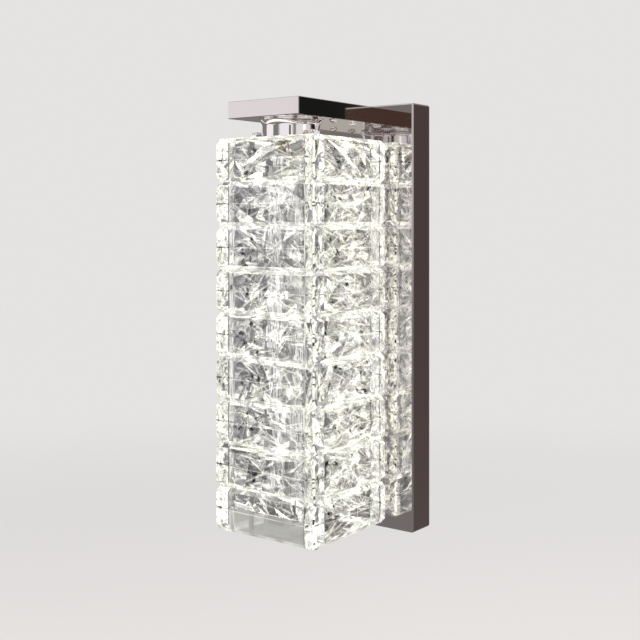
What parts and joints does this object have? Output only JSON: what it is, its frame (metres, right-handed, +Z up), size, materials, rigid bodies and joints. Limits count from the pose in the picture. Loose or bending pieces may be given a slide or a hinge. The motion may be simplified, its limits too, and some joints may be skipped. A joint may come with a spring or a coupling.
{
  "type": "crystal wall sconce",
  "caption": "Square column of stacked rock-cut crystal bars, lit from inside and hung by a round neck from a flat polished arm on a tall backplate.",
  "frame": {"origin": "on the wall, at the centre of the backplate and of the bracket's four wall screws", "axes": "+Z up, +Y into the wall, +X to the right as seen from the room"},
  "size_m": [0.122, 0.1153, 0.3079],
  "materials": {
    "crystal": "clear cast crystal, polished outside and rock-cut on the inner face",
    "polished_chrome": "mirror-polished chrome plate",
    "zinc_steel": "bright zinc-plated steel",
    "aluminium": "satin anodised",
    "brass": "plain turned brass",
    "light_strip": "white diffuser over a row of lamps",
    "white_plastic": "moulded, fine matt",
    "black_rubber": "matt"
  },
  "bodies": {
    "root": {"backplate": "polished_chrome", "wall_bracket": "zinc_steel", "fixing_screws": "polished_chrome", "earth_screw": "brass", "led_driver": "white_plastic", "terminal_block": "white_plastic", "wire_grommet": "black_rubber", "arm_shell": "polished_chrome", "arm_cover": "polished_chrome", "arm_cover_screws": "polished_chrome", "arm_screws": "zinc_steel", "neck_collar": "polished_chrome", "threaded_pipe": "zinc_steel", "pipe_nuts": "brass", "hanger_plate": "polished_chrome", "bottom_plate": "polished_chrome", "tie_rods": "zinc_steel", "rod_lock_nuts": "polished_chrome", "rod_cap_nuts": "polished_chrome", "bottom_screw": "polished_chrome", "core_tube": "aluminium", "core_plugs": "aluminium", "led_strips": "light_strip", "corner_pins": "zinc_steel", "crystal_front_1": "crystal", "crystal_right_1": "crystal", "crystal_back_1": "crystal", "crystal_left_1": "crystal", "crystal_front_2": "crystal", "crystal_right_2": "crystal", "crystal_back_2": "crystal", "crystal_left_2": "crystal", "crystal_front_3": "crystal", "crystal_right_3": "crystal", "crystal_back_3": "crystal", "crystal_left_3": "crystal", "crystal_front_4": "crystal", "crystal_right_4": "crystal", "crystal_back_4": "crystal", "crystal_left_4": "crystal", "crystal_front_5": "crystal", "crystal_right_5": "crystal", "crystal_back_5": "crystal", "crystal_left_5": "crystal", "crystal_front_6": "crystal", "crystal_right_6": "crystal", "crystal_back_6": "crystal", "crystal_left_6": "crystal", "crystal_front_7": "crystal", "crystal_right_7": "crystal", "crystal_back_7": "crystal", "crystal_left_7": "crystal", "crystal_front_8": "crystal", "crystal_right_8": "crystal", "crystal_back_8": "crystal", "crystal_left_8": "crystal", "crystal_front_9": "crystal", "crystal_right_9": "crystal", "crystal_back_9": "crystal", "crystal_left_9": "crystal"}
  },
  "joints": []
}
